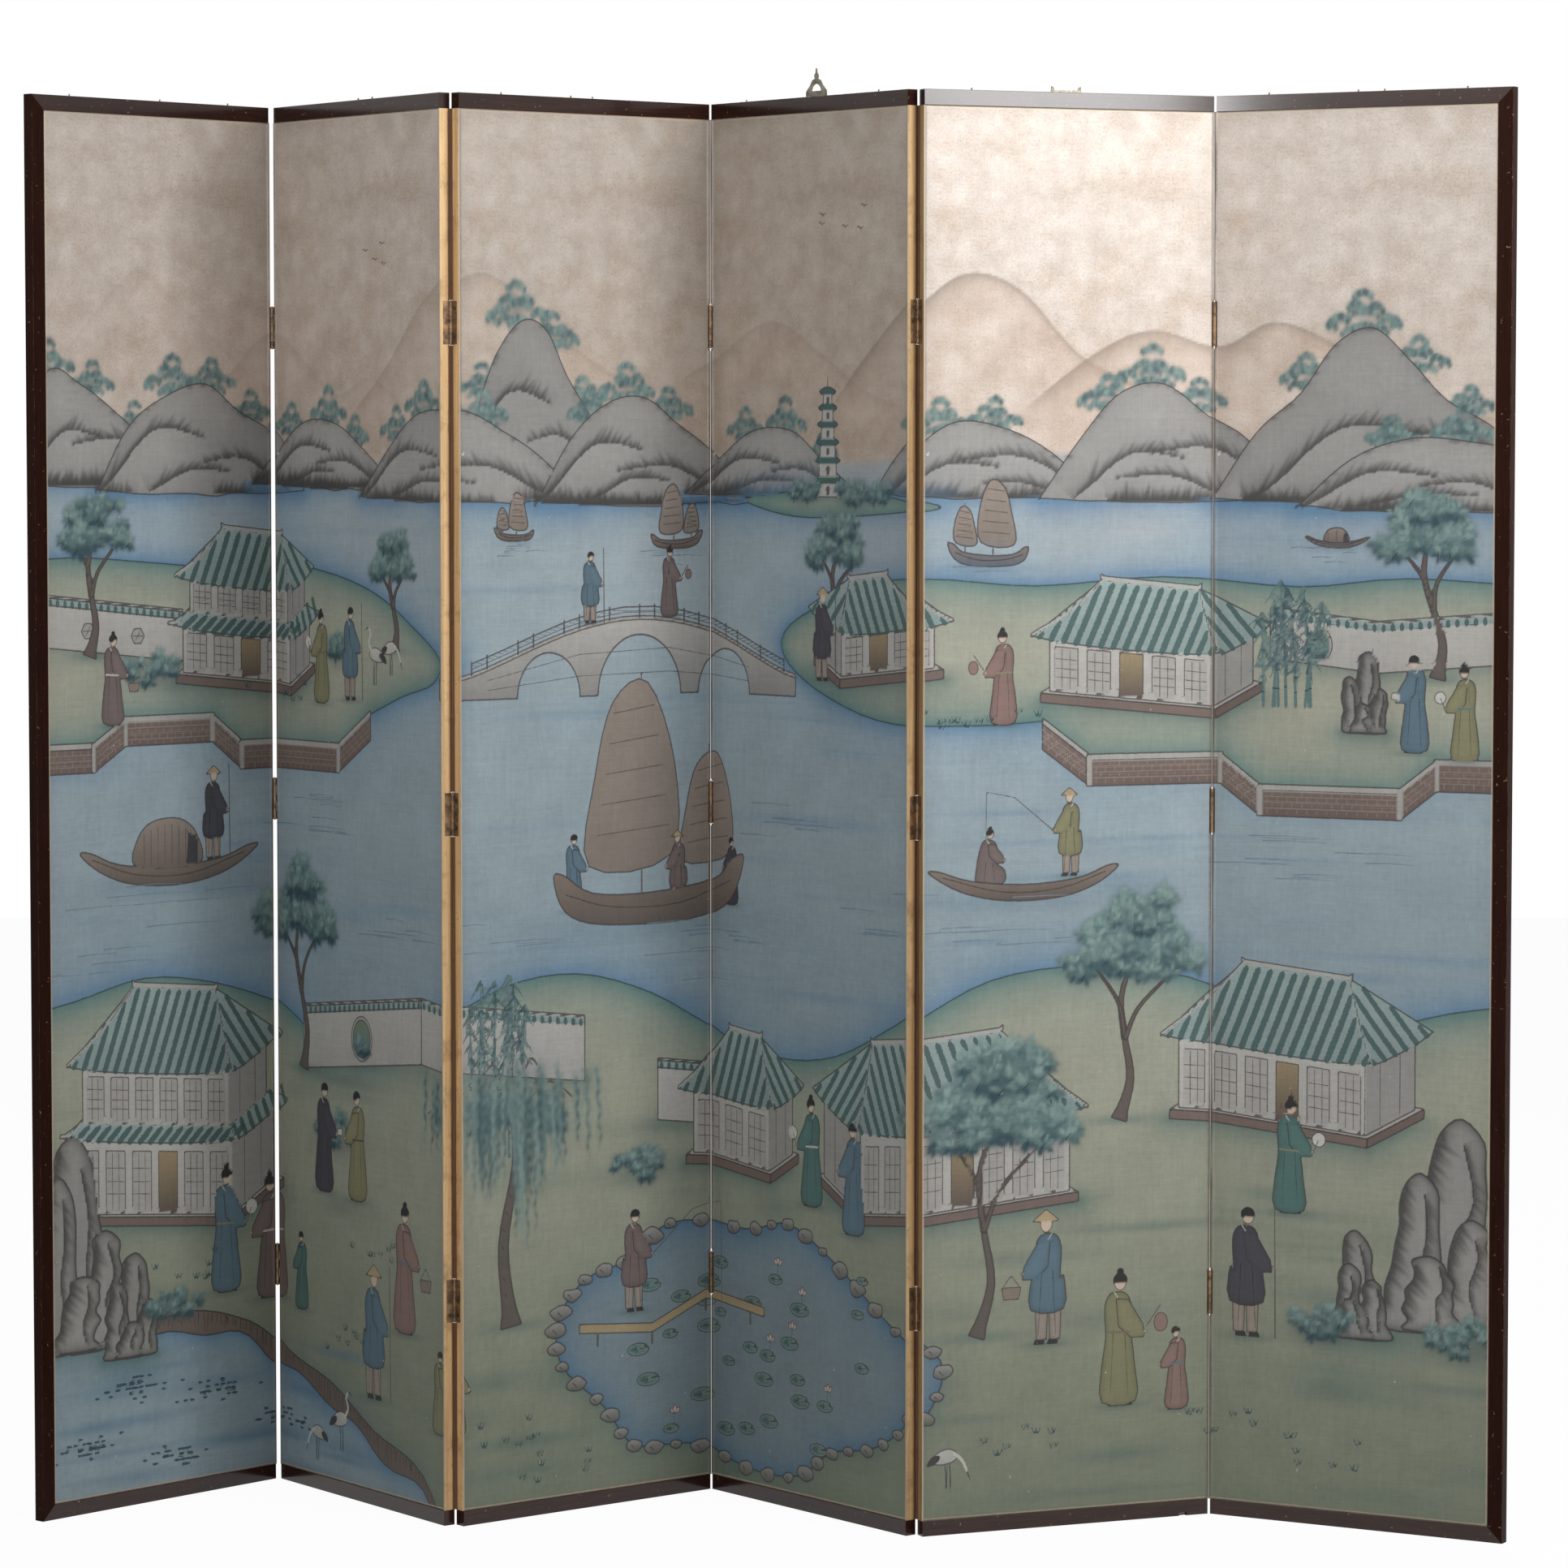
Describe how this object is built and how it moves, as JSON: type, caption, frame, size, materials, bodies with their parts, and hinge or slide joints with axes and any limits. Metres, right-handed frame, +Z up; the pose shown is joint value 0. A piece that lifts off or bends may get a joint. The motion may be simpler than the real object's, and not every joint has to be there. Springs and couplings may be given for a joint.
{
  "type": "folding screen",
  "caption": "Tall folding screen of painted paper panels in dark rails with gilt edges, hinged in a zigzag that folds flat.",
  "frame": {"origin": "on the floor, under the middle of the screen's outline as it stands", "axes": "+Z up, +X along the row of panels from left to right, -Y towards the painted faces"},
  "size_m": [1.8794, 0.446, 1.866],
  "materials": {
    "lattice_wood": "planed softwood, unseen between the boards",
    "painted_paper": "thin board faced with painted paper and silver leaf",
    "back_paper": "thin board faced with plain aged paper",
    "dark_lacquer": "dark brown lacquered wood, rubbed at the arrises",
    "gilt_edge": "gilded wood edging, worn",
    "hinge_brass": "old brass gone brown",
    "screw_brass": "old brass gone brown",
    "plate_brass": "worn brass"
  },
  "bodies": {
    "panel_1": {"core_1": "lattice_wood", "painting_1": "painted_paper", "backing_1": "back_paper", "top_rail_1": "dark_lacquer", "bottom_rail_1": "dark_lacquer", "edges_1": "gilt_edge", "left_stile": "dark_lacquer", "leaves_1_right": "hinge_brass", "fixings_1": "screw_brass"},
    "panel_2": {"core_2": "lattice_wood", "painting_2": "painted_paper", "backing_2": "back_paper", "top_rail_2": "dark_lacquer", "bottom_rail_2": "dark_lacquer", "edges_2": "gilt_edge", "leaves_2_left": "hinge_brass", "leaves_2_right": "hinge_brass", "pins_2": "hinge_brass", "fixings_2": "screw_brass"},
    "panel_3": {"core_3": "lattice_wood", "painting_3": "painted_paper", "backing_3": "back_paper", "top_rail_3": "dark_lacquer", "bottom_rail_3": "dark_lacquer", "edges_3": "gilt_edge", "leaves_3_left": "hinge_brass", "leaves_3_right": "hinge_brass", "fixings_3": "screw_brass"},
    "panel_4": {"core_4": "lattice_wood", "painting_4": "painted_paper", "backing_4": "back_paper", "top_rail_4": "dark_lacquer", "bottom_rail_4": "dark_lacquer", "edges_4": "gilt_edge", "leaves_4_left": "hinge_brass", "leaves_4_right": "hinge_brass", "pins_4": "hinge_brass", "fixings_4": "screw_brass", "hanger": "plate_brass"},
    "panel_5": {"core_5": "lattice_wood", "painting_5": "painted_paper", "backing_5": "back_paper", "top_rail_5": "dark_lacquer", "bottom_rail_5": "dark_lacquer", "edges_5": "gilt_edge", "leaves_5_left": "hinge_brass", "leaves_5_right": "hinge_brass", "fixings_5": "screw_brass", "hanger_stub": "plate_brass"},
    "panel_6": {"core_6": "lattice_wood", "painting_6": "painted_paper", "backing_6": "back_paper", "top_rail_6": "dark_lacquer", "bottom_rail_6": "dark_lacquer", "edges_6": "gilt_edge", "right_stile": "dark_lacquer", "leaves_6_left": "hinge_brass", "pins_6": "hinge_brass", "fixings_6": "screw_brass"}
  },
  "joints": [
    {"name": "fold_2", "type": "hinge", "parent": "panel_3", "child": "panel_2", "pos_m": [-0.39617, -0.10458, 0.9145], "axis": [0, 0, -1], "range_deg": [-93, 87]},
    {"name": "fold_1", "type": "hinge", "parent": "panel_2", "child": "panel_1", "pos_m": [-0.65373, 0.2119, 0.9145], "axis": [0, 0, 1], "range_deg": [-101.5, 78.5]},
    {"name": "fold_3", "type": "hinge", "parent": "panel_3", "child": "panel_4", "pos_m": [-0.07174, 0.14109, 0.9145], "axis": [0, 0, -1], "range_deg": [-91, 89]},
    {"name": "fold_4", "type": "hinge", "parent": "panel_4", "child": "panel_5", "pos_m": [0.19452, -0.16666, 0.9145], "axis": [0, 0, 1], "range_deg": [-74, 106]},
    {"name": "fold_5", "type": "hinge", "parent": "panel_5", "child": "panel_6", "pos_m": [0.5766, -0.02658, 0.9145], "axis": [0, 0, -1], "range_deg": [-51.5, 128.5]}
  ]
}
